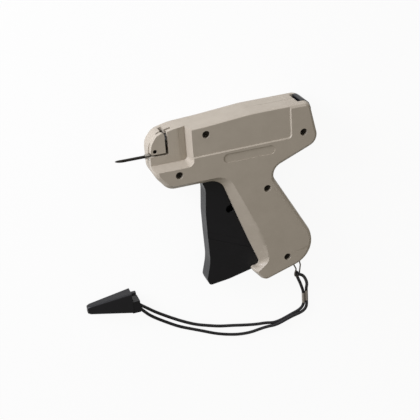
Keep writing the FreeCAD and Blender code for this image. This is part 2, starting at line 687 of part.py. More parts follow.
notchBand = cut("notchBand", sector("notchFar", notchReach + " + notchRadius", True),
                [sector("notchNear", notchReach + " - notchRadius", False)])
frontX = "%s + (%s) * cos(%s * 1deg)" % (pivotX, notchReach, notchStart)
frontY = "%s + (%s) * sin(%s * 1deg)" % (pivotY, notchReach, notchStart)
trigger = cut("triggerPiece", outer, [
    plate("triggerHollow", cornersOf(hollowShares), "-(triggerHalf - triggerPlate)", "triggerHalf - triggerPlate"),
    rod("triggerBore", "pivotRadius + pinGap", "-triggerHalf - overrun", "triggerHalf + overrun", pivotX, pivotY),
    rod("rollerBore", "rollerRadius + pinGap", "-triggerHalf - overrun", "triggerHalf + overrun", rollerX, rollerY),
    notchBand,
    rod("notchEnd", "notchRadius", "-triggerHalf - overrun", "triggerHalf + overrun", frontX, frontY),
])
finish(trigger, "trigger")
pinEnd = "caseWidth / 2 - wall - flatGap"
finishPin(pinBody("pivotPin", "pivotRadius", "-(%s)" % pinEnd, pinEnd, pivotX, pivotY, edge="screwEdge"),
          "trigger_pivot_pin")
finishPin(pinBody("leverPin", "leverPinRadius", "-(%s)" % pinEnd, pinEnd, leverX, leverY, edge="screwEdge"),
          "drive_lever_pin")
finishPin(pinBody("rollerPin", "rollerRadius", "-triggerHalf", "triggerHalf", rollerX, rollerY, edge="screwEdge"),
          "trigger_roller_pin")

# Drive lever: upper fork on the slider's pin, lower fork on the trigger's pin
armReach = "(-(%s))" % leverY
lowReach = "sqrt((%s - (%s))^2 + (%s - (%s))^2)" % (rollerX, leverX, rollerY, leverY)


def turned(item, degrees):
    item.Placement = FreeCAD.Placement(item.Placement.Base, FreeCAD.Rotation(Vector(0, 0, 1), degrees))
    return item


def bar(name, half, start, end, degrees, z="leverHalf"):
    """A bar from the lever's pin outwards at an angle from the x axis."""
    item = doc.addObject("Part::Box", name)
    bind(item, "Length", "(%s) - (%s)" % (end, start))
    bind(item, "Width", "(%s) * 2" % half)
    bind(item, "Height", "(%s) * 2" % z)
    turn = math.radians(degrees)
    item.Placement = FreeCAD.Placement(Vector(), FreeCAD.Rotation(Vector(0, 0, 1), degrees))
    return place(item, "(%s) * %.6f + (%s) * %.6f" % (start, math.cos(turn), half, math.sin(turn)),
                 "(%s) * %.6f - (%s) * %.6f" % (start, math.sin(turn), half, math.cos(turn)), "-(%s)" % z)


lowAngle = -size("lowerArmAngle")
lugDX = (springLugShare[0] - leverPinShare[0]) * size("caseLength")
lugDY = (springLugShare[1] - leverPinShare[1]) * size("caseHeight")
lugAngle = math.degrees(math.atan2(lugDY, lugDX)) + size("leverTilt")
lugReach = "sqrt((%s - (%s))^2 + (%s - (%s))^2)" % (lugX, leverX, lugY, leverY)
lugTurn = math.radians(lugAngle)
lugAtX = "(%s) * %.6f" % (lugReach, math.cos(lugTurn))
lugAtY = "(%s) * %.6f" % (lugReach, math.sin(lugTurn))
lowTurn = math.radians(lowAngle)
slotBottom = "(%s) - rollerRadius - flatGap * 5" % lowReach
leverWhole = fuse("leverWhole", [
    rod("leverHub", "leverPinRadius + wall", "-leverHalf", "leverHalf"),
    bar("upperArm", "armHalf", "0", armReach, 90),
    bar("upperFork", "forkHalf", armReach + " - forkDepth", armReach + " + forkDepth", 90),
    bar("lowerArm", "forkHalf", "0", "(%s) + sliderPinRadius * 1.7" % lowReach, lowAngle),
    bar("lugArm", "lugRadius", "0", lugReach, lugAngle),
    rod("lug", "lugRadius", "-leverHalf", "leverHalf", lugAtX, lugAtY),
])
driveLever = cut("driveLeverPiece", leverWhole, [
    rod("leverBore", "leverPinRadius + pinGap", "-leverHalf - overrun", "leverHalf + overrun"),
    rod("lugBore", "lugHole", "-leverHalf - overrun", "leverHalf + overrun", lugAtX, lugAtY),
    bar("upperSlot", "sliderPinRadius + forkSide", armReach, armReach + " + forkDepth * 2", 90, "leverHalf * 2"),
    rod("upperSlotEnd", "sliderPinRadius + forkSide", "-leverHalf - overrun", "leverHalf + overrun", "0",
        armReach + " + flatGap"),
    bar("lowerSlot", "rollerRadius + forkSide", slotBottom + " + rollerRadius", lowReach + " * 2", lowAngle, "leverHalf * 2"),
    rod("lowerSlotEnd", "rollerRadius + forkSide", "-leverHalf - overrun", "leverHalf + overrun",
        "(%s + rollerRadius) * %.6f" % (slotBottom, math.cos(lowTurn)),
        "(%s + rollerRadius) * %.6f" % (slotBottom, math.sin(lowTurn))),
])
driveLever.Placement = FreeCAD.Placement(Vector(), FreeCAD.Rotation(Vector(0, 0, 1), -size("leverTilt")))
finish(driveLever, "drive_lever", leverX, leverY, "0")

# Slider with its pin and the push rod
sliderBody = cut("sliderPiece", box("sliderBlank", sliderX + " - sliderFront", sliderX + " + sliderRear",
                                    "-sliderHalfHigh", "sliderHalfHigh", "-sliderHalfWide", "sliderHalfWide"), [
    box("sliderGap", sliderX + " - sliderFront + sliderWall", sliderX + " + sliderRear + overrun",
        "-sliderHalfHigh - overrun", "sliderHalfHigh + overrun", "-cheekInner", "cheekInner"),
    rod("sliderPinHole", "sliderPinRadius + pinGap", "-sliderHalfWide - overrun", "sliderHalfWide + overrun", sliderX, "0"),
    rod("rodSeat", "rodRadius + pinGap", sliderX + " - sliderFront - overrun",
        sliderX + " - sliderFront + sliderWall - overrun", "0", "0", "x"),
])
finish(sliderBody, "slider")
finishPin(pinBody("sliderPin", "sliderPinRadius", "-sliderHalfWide", "sliderHalfWide", sliderX, "0", edge="screwEdge"),
          "slider_pin")
finishPin(pinBody("pushRod", "rodRadius", "rodTip", sliderX + " - sliderFront + sliderWall - overrun * 1.1", "0", "0",
                  along="x"), "push_rod")

# Feed wheel with its ratchet, on an axle along x
halfToothShare = 0.22


def toothedFace(name, tipRadius, rootRadius, lean, x):
    count = int(size("teeth"))
    points = []
    for index in range(count):
        start = 2 * math.pi * index / count
        step = 2 * math.pi / count
        for share, radius in ((-0.5, rootRadius), (-halfToothShare, rootRadius), (lean - 0.06, tipRadius),
                              (lean + 0.06, tipRadius), (halfToothShare, rootRadius)):
            angle = start + step * share
            points.append(Vector(0, radius * math.cos(angle), radius * math.sin(angle)))
    points.append(points[0])
    item = doc.addObject("Part::Feature", name)
    item.Shape = Part.Face(Part.makePolygon(points))
    return place(item, x, "wheelY", "-wheelZ")


def extrudedAlongX(name, face, length):
    item = doc.addObject("Part::Extrusion", name)
    item.Base = face
    item.DirMode = "Custom"
    item.Dir = Vector(1, 0, 0)
    bind(item, "LengthFwd", length)
    item.Solid = True
    return item


wheel = cut("wheelPiece", fuse("wheelWhole", [
    extrudedAlongX("wheelTeeth", toothedFace("wheelFace", size("wheelTip"), size("wheelRoot"), 0, "wheelFront"),
           "wheelBack - wheelFront"),
    extrudedAlongX("ratchetTeeth", toothedFace("ratchetFace", size("ratchetTip"), size("ratchetRoot"), halfToothShare / 2, "ratchetFront"),
           "ratchetBack - ratchetFront"),
    rod("sleeve", "sleeveRadius", "noseCavityFront + flatGap", "ribFront - flatGap", "wheelY", "-wheelZ", "x"),
]), [rod("wheelBore", "axleRadius + pinGap", "0", "ribRear", "wheelY", "-wheelZ", "x")])
finish(wheel, "feed_wheel")
finishPin(pinBody("axle", "axleRadius", "axleFront + pinGap", "axleRear", "wheelY", "-wheelZ", along="x"),
          "feed_wheel_axle")

# Feed pawl, swinging under the ratchet, with a tail that balances it
pawl = cut("pawlPiece", fuse("pawlWhole", [
    rod("pawlHubRing", "pawlHub", "pawlFront", "ribFront - flatGap", "-pawlY", "-pawlZ", "x"),
    box("pawlArm", "pawlFront", "pawlBack", "-pawlY", "pawlTop", "-pawlZ - pawlHalf", "-pawlZ + pawlHalf"),
    box("pawlTail", "pawlTailFront", "pawlTailRear", "-pawlTailLow", "-pawlY", "-pawlZ - pawlTailHalf",
        "-pawlZ + pawlTailHalf"),
]), [rod("pawlBore", "axleRadius + pinGap", "pawlFront - overrun", "pawlTailRear + overrun", "-pawlY", "-pawlZ", "x")])
finish(pawl, "feed_pawl")
finishPin(pinBody("pawlPin", "axleRadius", "noseCavityFront + pinGap", "pawlTailRear + flatGap", "-pawlY", "-pawlZ", along="x"),
          "feed_pawl_pin")

# Thumb button with the release bar and its return spring
buttonShares = (
    (0.8952, 0.0565, 0.0040), (0.8952, 0.1220, 0.0040), (0.8548, 0.1220, 0.0040), (0.8548, 0.1458, 0.0040),
    (0.8952, 0.1458, 0.0040), (0.8952, 0.1704, 0.0040), (0.9194, 0.1711, 0.0202), (0.9468, 0.1518, 0.0242),
    (0.9581, 0.1220, 0.0323), (0.9597, 0.0923, 0.0048), (0.9258, 0.0923, 0.0032), (0.9258, 0.0565, 0.0040),
)
button = plate("buttonPiece", cornersOf(buttonShares), "-(buttonHalf - buttonSide)", "buttonHalf - buttonSide")
finish(button, "release_button")
releaseBar = fuse("releaseBarPiece", [
    box("barRun", "barTip", "buttonStart", "barLow", "barHigh", "-barFar", "-barNear"),
    box("barHook", "barTip", "barTip + wall", "barLow - wall", "barHigh", "-barFar", "-barNear"),
])
finish(releaseBar, "release_bar")
buttonSpring = cut("buttonSpringPiece", rod("buttonCoilOuter", "buttonSpringRadius", "springRibRear", "buttonStart",
                                            "buttonSpringY + wall", "0", "x"),
                   [rod("buttonCoilInner", "buttonSpringInner", "springRibRear - overrun", "buttonStart + overrun",
                        "buttonSpringY + wall", "0", "x")])
finish(buttonSpring, "button_spring")

# Return spring of the drive lever
lugSpot = Vector(springLugShare[0] * size("caseLength"), springLugShare[1] * size("caseHeight"), 0)
postSpot = Vector(springPostShare[0] * size("caseLength"), springPostShare[1] * size("caseHeight"), 0)
run = postSpot - lugSpot
axis = Vector(run)
axis.normalize()
topEnd = lugSpot + axis * (size("lugRadius") + size("flatGap"))
lowEnd = postSpot - axis * (size("springPostRadius") + size("flatGap"))
coilTop = topEnd + axis * size("hookLength")
coilLow = lowEnd - axis * size("hookLength")
spring = doc.addObject("Part::Feature", "returnSpringPiece")
coil = Part.makeCylinder(size("returnRadius"), (coilLow - coilTop).Length, coilTop, axis)
coil = coil.cut(Part.makeCylinder(size("returnInner"), (coilLow - coilTop).Length - 2 * size("hookRadius"),
                                  coilTop + axis * size("hookRadius"), axis))
hooks = Part.makeCylinder(size("hookRadius"), (coilTop - topEnd).Length + size("hookRadius"), topEnd, axis)
hooks = hooks.fuse(Part.makeCylinder(size("hookRadius"), (lowEnd - coilLow).Length + size("hookRadius"),
                                     coilLow - axis * size("hookRadius"), axis))
spring.Shape = coil.fuse(hooks)
finish(spring, "return_spring")

# Wire clip for the lanyard, held between the halves at the foot of the grip
finish(clipWire("clipPiece", "clipWire"), "lanyard_clip")

# Lanyard: the loop on the clip, the crimp and the two strands to the needle cap; heights are above the table
loopRoute = (
    (119.6, -144.2, 1.4), (119.3, -141.2, 2.3), (118.6, -137.0, 5.4), (116.9, -131.6, 9.1),
    (113.8, -125.2, 12.9), (110.6, -120.6, 15.8), (107.2, -118.7, 16.7), (107.2, -118.7, 11.2),
    (108.1, -123.0, 10.9), (110.1, -127.8, 8.9), (112.7, -133.4, 6.4), (115.0, -139.2, 3.4),
    (116.5, -142.9, 1.9), (117.0, -145.7, 1.4),
)
upperRoute = (
    (117.0, -154.7, 1.4), (116.7, -156.9, 1.3), (115.2, -159.2, 1.25), (112.0, -161.2, 1.25),
    (107.0, -162.7, 1.25), (101.8, -164.5, 1.25), (96.5, -166.2, 1.25), (90.5, -166.9, 1.25),
    (84.0, -165.2, 1.25), (76.5, -164.6, 1.25), (66.0, -162.5, 1.25), (56.0, -160.1, 1.25),
    (46.0, -158.1, 1.25), (36.5, -154.9, 1.25), (27.0, -151.4, 1.25), (18.0, -146.5, 1.25),
    (9.0, -140.8, 1.25), (0.5, -134.9, 1.25), (-4.8, -130.7, 1.9), (-9.4, -126.1, 3.5),
    (-13.4, -121.9, 5.4), (-16.2, -119.0, 6.5),
)
lowerRoute = (
    (119.6, -153.2, 1.4), (119.5, -156.2, 2.0), (118.0, -159.2, 3.3), (114.0, -161.8, 3.7),
    (107.0, -163.1, 3.7), (101.8, -164.7, 3.7), (96.5, -166.5, 3.7), (91.0, -168.0, 3.5),
    (85.6, -168.3, 2.4), (79.5, -169.5, 1.3), (71.0, -170.7, 1.25), (61.0, -169.8, 1.25),
    (51.0, -167.1, 1.25), (41.5, -163.5, 1.25), (32.0, -158.6, 1.25), (22.5, -154.0, 1.25),
    (13.0, -149.2, 1.25), (4.0, -143.0, 1.25), (-1.5, -138.9, 1.4), (-5.6, -135.3, 2.4),
    (-9.8, -130.8, 4.0), (-13.6, -125.6, 6.0), (-16.2, -121.9, 7.2),
)
cordArcShare = 0.45


def cordTube(name, route):
    """The cord's free run: every arc is as large as its two runs allow."""
    spots = [Vector(*spot) for spot in route]
    points = []
    radii = []
    for index, spot in enumerate(spots):
        if index in (0, len(spots) - 1):
            points.append((spot, 0))
            continue
        back = spots[index - 1] - spot
        ahead = spots[index + 1] - spot
        half = (math.pi - back.getAngle(ahead)) / 2
        radius = cordArcShare * min(back.Length, ahead.Length) / math.tan(half)
        radii.append(radius)
        points.append((spot, radius))
    runs = [(b - a).Length for a, b in zip(spots, spots[1:])]
    print(name, "length %.1f" % sum(runs), "runs", ["%.1f" % run for run in runs])
    print(name, "least radius %.1f" % min(radii), "radii", ["%.1f" % radius for radius in radii])
    return tube(name, points, "cordRadius")


finish(cordTube("loopPiece", loopRoute), "lanyard_loop", z="-caseWidth / 2")
finish(cordTube("upperPiece", upperRoute), "lanyard_upper_strand", z="-caseWidth / 2")
finish(cordTube("lowerPiece", lowerRoute), "lanyard_lower_strand", z="-caseWidth / 2")


def rodAlongY(name, radius, low, high, x, z):
    item = doc.addObject("Part::Cylinder", name)
    bind(item, "Radius", radius)
    bind(item, "Height", "(%s) - (%s)" % (high, low))
    item.Placement = FreeCAD.Placement(Vector(), FreeCAD.Rotation(Vector(1, 0, 0), -90))
    return place(item, x, low, z)


crimp = fuse("crimpPiece", [
    rodAlongY("crimpRight", "crimpRadius", "-(crimpTop + crimpLength)", "-crimpTop", "crimpX + crimpSpacing / 2",
              "crimpRadius + pinGap"),
    rodAlongY("crimpLeft", "crimpRadius", "-(crimpTop + crimpLength + crimpRise * 0.75)", "-crimpTop - crimpRise * 0.75",
              "crimpX - crimpSpacing / 2", "crimpRadius + pinGap"),
])
finish(crimp, "crimp_ferrule", z="-caseWidth / 2")

# Needle cap lying on the table: a tapered box open towards the gun, with the tail block that the strands end in


def capSection(name, x, inset, highShare, grow=0.0):
    """A rectangle across the cap at a station along it; highShare runs from the mouth to the tip."""
    high = -(size("capMouthHigh") + (size("capTipHigh") - size("capMouthHigh")) * highShare) - inset
    low = -(size("capMouthLow") + (size("capTipLow") - size("capMouthLow")) * highShare) + inset
    top = size("capHeight") + (size("capTipHeight") - size("capHeight")) * highShare - inset
    item = doc.addObject("Part::Feature", name)
    foot = inset
    corner = size("capRim")
    corners = [(low, foot, corner), (high, foot, corner), (high, top, corner * 2), (low, top, corner * 2)]
    flat = roundedPath([(Vector(0, y, z), r) for y, z, r in corners])
    item.Shape = flat
    place(item, x="-(%s)" % x, z="-caseWidth / 2")
    return item


capOuter = loft("capOuter", [
    capSection("capMouth", "capMouthX", 0, 0),
    capSection("capNeck", "capTipX - capEnd", 0, 0.92),
    capSection("capTip", "capTipX", size("capRim"), 0.96),
])
capInner = loft("capInner", [
    capSection("capInnerMouth", "capMouthX - overrun", size("capWall"), 0),
    capSection("capInnerTip", "capTipX - capEnd * 2", size("capWall"), 0.86),
])
capTail = box("capTail", "-capMouthX - capRim", "-capMouthX + tailLength", "-tailLow", "-tailHigh",
              "-caseWidth / 2", "-caseWidth / 2 + tailHeight")
capLatch = box("capLatch", "-capMouthX - capRim", "-capMouthX + latchLength", "-latchLow", "-capMouthHigh - pinGap * 2",
               "-caseWidth / 2 + latchFoot", "-caseWidth / 2 + latchTop")
cap = cut("capPiece", fuse("capWhole", [capOuter, capLatch, capTail]), [capInner])
finish(cap, "needle_cap")

doc.recompute()
problems = [item.Name for item in doc.Objects if "Invalid" in item.State or "Error" in item.State]
assert not problems, problems
os.makedirs("parts", exist_ok=True)
for item in nodes:
    shape = item.Shape
    assert not shape.isNull() and shape.isValid(), item.Label
    shape.exportStep("parts/%s.step" % item.Label)
    frame = shape.BoundBox
    print("%-22s solids %d volume %9.1f x %.2f %.2f y %.2f %.2f z %.2f %.2f" % (
        item.Label, len(shape.Solids), shape.Volume, frame.XMin, frame.XMax, frame.YMin, frame.YMax, frame.ZMin, frame.ZMax))
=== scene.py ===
import bpy
import math
from mathutils import Matrix, Vector


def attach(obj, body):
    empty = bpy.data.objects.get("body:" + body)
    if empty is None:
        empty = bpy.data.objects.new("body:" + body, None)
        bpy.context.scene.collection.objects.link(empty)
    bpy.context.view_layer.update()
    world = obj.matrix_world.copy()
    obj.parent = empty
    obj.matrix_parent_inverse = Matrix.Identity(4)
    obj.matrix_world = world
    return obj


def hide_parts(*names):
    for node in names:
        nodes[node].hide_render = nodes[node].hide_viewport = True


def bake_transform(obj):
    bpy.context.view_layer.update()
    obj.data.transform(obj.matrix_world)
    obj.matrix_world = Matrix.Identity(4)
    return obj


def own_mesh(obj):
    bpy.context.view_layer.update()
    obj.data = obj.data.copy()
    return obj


# Garment tag attacher lying on its right side, in metres.
# +X is the rear of the tool, +Y its top, +Z up from the table.
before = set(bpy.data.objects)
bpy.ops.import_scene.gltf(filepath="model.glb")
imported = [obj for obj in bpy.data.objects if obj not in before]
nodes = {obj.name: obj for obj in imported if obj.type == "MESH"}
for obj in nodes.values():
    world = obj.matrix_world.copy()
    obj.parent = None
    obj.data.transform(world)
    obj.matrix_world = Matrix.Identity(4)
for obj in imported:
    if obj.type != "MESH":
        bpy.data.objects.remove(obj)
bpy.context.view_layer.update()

# Pieces are placed in millimetres from the nose face, the needle's axis and the parting plane.
# This is how far these three lie from the frame's origin, along -X, +Y and +Z.
toolOrigin = {"noseFace": 49.025, "needleAxis": 49.7, "partingPlane": 14.0}
mmPerMetre = 1000
smoothAngle = 35  # degrees, sharper edges stay sharp


def toolPoint(x, y, z):
    return Vector(((x - toolOrigin["noseFace"]) / mmPerMetre,
                   (y + toolOrigin["needleAxis"]) / mmPerMetre,
                   (z + toolOrigin["partingPlane"]) / mmPerMetre))


def tablePoint(x, y, height):
    # like toolPoint, with the height measured from the table
    return toolPoint(x, y, height - toolOrigin["partingPlane"])


def deselectAll():
    if bpy.context.object and bpy.context.object.mode != "OBJECT":
        bpy.ops.object.mode_set(mode="OBJECT")
    bpy.ops.object.select_all(action="DESELECT")


def makeActive(piece):
    deselectAll()
    piece.select_set(True)
    bpy.context.view_layer.objects.active = piece


# Camera: the photograph's viewing angle, from its three axes
camera = {
    "lens": 85.7,
    "sensor": 36,
    "clipStart": 0.01,
    "right": (0.944, -0.068, 0.3226),
    "up": (0.200, 0.896, -0.3966),
    "back": (-0.262, 0.439, 0.8594),
    "place": (-0.1961, 0.3149, 0.6320),
}
cameraData = bpy.data.cameras.new("photoCamera")
cameraData.sensor_width = camera["sensor"]
cameraData.lens = camera["lens"]
cameraData.clip_start = camera["clipStart"]
cameraObject = bpy.data.objects.new("photoCamera", cameraData)
bpy.context.scene.collection.objects.link(cameraObject)
cameraTurn = Matrix((camera["right"], camera["up"], camera["back"])).transposed().to_4x4()
cameraObject.matrix_world = Matrix.Translation(camera["place"]) @ cameraTurn
bpy.context.scene.camera = cameraObject
print("camera set")


# Materials
def sRgb(text):
    values = [int(text[i:i + 2], 16) / 255 for i in (1, 3, 5)]
    return tuple(v / 12.92 if v <= 0.04045 else ((v + 0.055) / 1.055) ** 2.4 for v in values) + (1,)


def addNode(material, kind, settings=None, links=None):
    # settings go to the node's sockets or properties, links to its sockets
    made = material.node_tree.nodes.new(kind)
    for name, value in (settings or {}).items():
        if isinstance(name, int) or name in made.inputs:
            made.inputs[name].default_value = value
        else:
            setattr(made, name, value)
    for name, socket in (links or {}).items():
        material.node_tree.links.new(socket, made.inputs[name])
    return made


def newMaterial(name):
    material = bpy.data.materials.new(name)
    material.use_nodes = True
    material.node_tree.nodes.clear()
    return material


def finishMaterial(material, shader):
    output = material.node_tree.nodes.new("ShaderNodeOutputMaterial")
    material.node_tree.links.new(shader.outputs[0], output.inputs["Surface"])
    return material


def twoColours(material, base, second, amount):
    # the second colour shows where the amount is high
    colour = addNode(material, "ShaderNodeMix", {"data_type": "RGBA"})
    colour.inputs[6].default_value = sRgb(base)
    colour.inputs[7].default_value = sRgb(second)
    material.node_tree.links.new(amount.outputs[0], colour.inputs[0])
    return colour.outputs[2]


def mouldedAbs(name, base, dark, roughness, grainMm, grainDepthMm, ior=1.5):
    # injection-moulded ABS: faint mottling, a fine spark-eroded grain, soft highlights
    mottling = {"perMetre": 90.0, "detail": 5.0, "rough": 0.65, "low": 0.35, "high": 0.7, "most": 0.5}
    sheenSpread = {"less": 0.06, "more": 0.08}
    material = newMaterial(name)
    place = addNode(material, "ShaderNodeTexCoord")
    mottle = addNode(material, "ShaderNodeTexNoise",
                     {"Scale": mottling["perMetre"], "Detail": mottling["detail"],
                      "Roughness": mottling["rough"]},
                     {"Vector": place.outputs["Object"]})
    tone = addNode(material, "ShaderNodeMapRange",
                   {"From Min": mottling["low"], "From Max": mottling["high"], "To Max": mottling["most"]},
                   {"Value": mottle.outputs[0]})
    colour = twoColours(material, base, dark, tone)
    grain = addNode(material, "ShaderNodeTexNoise", {"Scale": mmPerMetre / grainMm, "Detail": 2.0},
                    {"Vector": place.outputs["Object"]})
    bump = addNode(material, "ShaderNodeBump", {"Strength": 0.35, "Distance": grainDepthMm / mmPerMetre},
                   {"Height": grain.outputs[0]})
    sheen = addNode(material, "ShaderNodeMapRange",
                    {"To Min": roughness - sheenSpread["less"], "To Max": roughness + sheenSpread["more"]},
                    {"Value": mottle.outputs[0]})
    shader = addNode(material, "ShaderNodeBsdfPrincipled", {"IOR": ior},
                     {"Base Color": colour, "Normal": bump.outputs[0], "Roughness": sheen.outputs[0]})
    return finishMaterial(material, shader)


def steel(name, base, roughness, lineMm, along):
    # drawn or turned metal: fine lines along its length, clean and bright
    lineDepthMm = 0.02
    sheenSpread = {"less": 0.08, "more": 0.12}
    material = newMaterial(name)
    place = addNode(material, "ShaderNodeTexCoord")
    stretch = addNode(material, "ShaderNodeMapping", {"Scale": along}, {"Vector": place.outputs["Object"]})
    lines = addNode(material, "ShaderNodeTexNoise", {"Scale": mmPerMetre / lineMm, "Detail": 3.0},
                    {"Vector": stretch.outputs[0]})
    rough = addNode(material, "ShaderNodeMapRange",
                    {"To Min": roughness - sheenSpread["less"], "To Max": roughness + sheenSpread["more"]},
                    {"Value": lines.outputs[0]})
    bump = addNode(material, "ShaderNodeBump", {"Strength": 0.2, "Distance": lineDepthMm / mmPerMetre},
                   {"Height": lines.outputs[0]})
    shader = addNode(material, "ShaderNodeBsdfPrincipled", {"Metallic": 1.0, "Base Color": sRgb(base)},
                     {"Roughness": rough.outputs[0], "Normal": bump.outputs[0]})
    return finishMaterial(material, shader)


def braidedCord(name, base, light, strandMm):
    # braided polyester: strands that catch a little light, coarse enough to show
    strands = {"low": 0.45, "high": 0.7, "most": 0.6, "depthMm": 0.3}
    material = newMaterial(name)
    place = addNode(material, "ShaderNodeTexCoord")
    noise = addNode(material, "ShaderNodeTexNoise", {"Scale": mmPerMetre / strandMm, "Detail": 3.0},
                    {"Vector": place.outputs["Object"]})
    tone = addNode(material, "ShaderNodeMapRange",
                   {"From Min": strands["low"], "From Max": strands["high"], "To Max": strands["most"]},
                   {"Value": noise.outputs[0]})
    colour = twoColours(material, base, light, tone)
    bump = addNode(material, "ShaderNodeBump", {"Strength": 0.6, "Distance": strands["depthMm"] / mmPerMetre},
                   {"Height": noise.outputs[0]})
    shader = addNode(material, "ShaderNodeBsdfPrincipled", {"Roughness": 0.7},
                     {"Base Color": colour, "Normal": bump.outputs[0]})
    return finishMaterial(material, shader)


caseAbs = mouldedAbs("beigeMouldedAbs", "#a59c8e", "#9b9284",
                     roughness=0.52, grainMm=0.5, grainDepthMm=0.03)
blackAbs = mouldedAbs("blackMouldedAbs", "#0d0d10", "#131317",
                      roughness=0.42, grainMm=0.5, grainDepthMm=0.02, ior=1.4)
greyNylon = mouldedAbs("greyMouldedNylon", "#6a6a6c", "#5d5d60",
                       roughness=0.45, grainMm=0.6, grainDepthMm=0.02)
brightSteel = steel("drawnSteel", "#a5a39f", roughness=0.3, lineMm=0.4, along=(0.2, 1, 1))
# screw steel: a dark finish made darker still as painted shade, so the deep counterbores read dark
screwSteelWithHoleShade = steel("darkScrewSteelWithHoleShade", "#37342f", roughness=0.38, lineMm=0.4, along=(1, 1, 1))
pinSteel = steel("oiledPinSteel", "#191715", roughness=0.5, lineMm=0.4, along=(1, 1, 1))
wireSteel = steel("dullSpringWire", "#7d7770", roughness=0.35, lineMm=0.3, along=(1, 0.2, 1))
needleSteel = steel("groundNeedleSteel", "#4d4b49", roughness=0.25, lineMm=0.25, along=(0.08, 1, 1))
collarSteel = steel("turnedCollarSteel", "#b5b2ac", roughness=0.3, lineMm=0.25, along=(1, 0.3, 0.3))
crimpMetal = steel("pressedNickelPlate", "#b0aaa2", roughness=0.34, lineMm=0.6, along=(1, 0.2, 1))
cordBraid = braidedCord("blackPolyesterBraid", "#0c0b0d", "#2c2a2c", strandMm=0.9)
print("materials made")


# Cutters and copies of the CAD solids
def turnAbout(piece, spot, turn):
    piece.data.transform(Matrix.Translation(spot) @ turn @ Matrix.Translation(-spot))


def boxCutter(low, high, turnZ=0.0, pivot=None):
    # a box between two corners in millimetres, turned about an upright line through the pivot
    middle = [(a + b) / 2 for a, b in zip(low, high)]
    deselectAll()
    bpy.ops.mesh.primitive_cube_add(size=1, location=toolPoint(*middle))
    cutter = bpy.context.object
    bpy.ops.transform.resize(value=[(b - a) / mmPerMetre for a, b in zip(low, high)])
    bpy.ops.object.transform_apply(location=True, rotation=True, scale=True)
    turnAbout(cutter, toolPoint(*(pivot or middle)), Matrix.Rotation(math.radians(turnZ), 4, "Z"))
    return cutter


def rodCutter(spot, radius, length, alongY=False):
    # a fine round cutter centred on a point in millimetres
    deselectAll()
    bpy.ops.mesh.primitive_cylinder_add(vertices=256, radius=radius / mmPerMetre, depth=length / mmPerMetre)
    cutter = bpy.context.object
    turn = Matrix.Rotation(math.radians(90 if alongY else 0), 4, "X")
    cutter.data.transform(Matrix.Translation(toolPoint(*spot)) @ turn)
    return cutter


def applyBoolean(piece, tool, operation):
    makeActive(piece)
    cut = piece.modifiers.new("boolean", "BOOLEAN")
    cut.operation = operation
    cut.object = tool
    cut.solver = "EXACT"
    bpy.ops.object.modifier_apply(modifier=cut.name)
    bpy.data.objects.remove(tool)


def softenEdges(piece, radiusMm, segments, angle=30):
    # a small round on each edge that is sharper than the angle in degrees
    soft = piece.modifiers.new("softEdges", "BEVEL")
    soft.width = radiusMm / mmPerMetre
    soft.segments = segments
    soft.limit_method = "ANGLE"
    soft.angle_limit = math.radians(angle)
    bpy.ops.object.modifier_apply(modifier=soft.name)


def copyOfNode(nodeName, pieceName, edgeMm=0.0, segments=2, cutters=()):
    # a merged copy of a CAD solid, its hard edges softened by a small radius in millimetres
    merging = {"doublesMm": 0.002, "flatAngle": 1.0, "edgeAngle": 32}
    piece = bpy.data.objects.new(pieceName, nodes[nodeName].data.copy())
    bpy.context.scene.collection.objects.link(piece)
    makeActive(piece)
    bpy.ops.object.mode_set(mode="EDIT")
    bpy.ops.mesh.select_all(action="SELECT")
    bpy.ops.mesh.remove_doubles(threshold=merging["doublesMm"] / mmPerMetre)
    bpy.ops.mesh.dissolve_limited(angle_limit=math.radians(merging["flatAngle"]))
    bpy.ops.object.mode_set(mode="OBJECT")
    for cutter in cutters:
        applyBoolean(piece, cutter, "DIFFERENCE")
    if edgeMm:
        softenEdges(piece, edgeMm, segments, merging["edgeAngle"])
    bpy.ops.object.shade_smooth_by_angle(angle=math.radians(smoothAngle))
    even = piece.modifiers.new("evenNormals", "WEIGHTED_NORMAL")
    even.keep_sharp = True
    bpy.ops.object.modifier_apply(modifier=even.name)
    return piece


def dressPiece(piece, material, slot, *replaced):
    piece.data.materials.clear()
    piece.data.materials.append(material)
    if replaced:
        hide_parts(*replaced)


def finishPiece(piece, body, material, slot, *replaced):
    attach(piece, body)
    dressPiece(piece, material, slot, *replaced)


# Lanyard: the same routes as the solids, as smooth splines, heights from the table
cord = {"diameter": 0.0024, "resolution": 10, "roundness": 5}
loopRoute = (
    (119.6, -144.2, 1.4), (119.3, -141.2, 2.3), (118.6, -137.0, 5.4), (116.9, -131.6, 9.1),
    (113.8, -125.2, 12.9), (110.6, -120.6, 15.8), (107.2, -118.7, 16.7), (107.2, -118.7, 11.2),
    (108.1, -123.0, 10.9), (110.1, -127.8, 8.9), (112.7, -133.4, 6.4), (115.0, -139.2, 3.4),
    (116.5, -142.9, 1.9), (117.0, -145.7, 1.4),
)
upperRoute = (
    (117.0, -154.7, 1.4), (116.7, -156.9, 1.3), (115.2, -159.2, 1.25), (112.0, -161.2, 1.25),
    (107.0, -162.7, 1.25), (101.8, -164.5, 1.25), (96.5, -166.2, 1.25), (90.5, -166.9, 1.25),
    (84.0, -165.2, 1.25), (76.5, -164.6, 1.25), (66.0, -162.5, 1.25), (56.0, -160.1, 1.25),
    (46.0, -158.1, 1.25), (36.5, -154.9, 1.25), (27.0, -151.4, 1.25), (18.0, -146.5, 1.25),
    (9.0, -140.8, 1.25), (0.5, -134.9, 1.25), (-4.8, -130.7, 1.9), (-9.4, -126.1, 3.5),
    (-13.4, -121.9, 5.4), (-16.2, -119.0, 6.5),
)
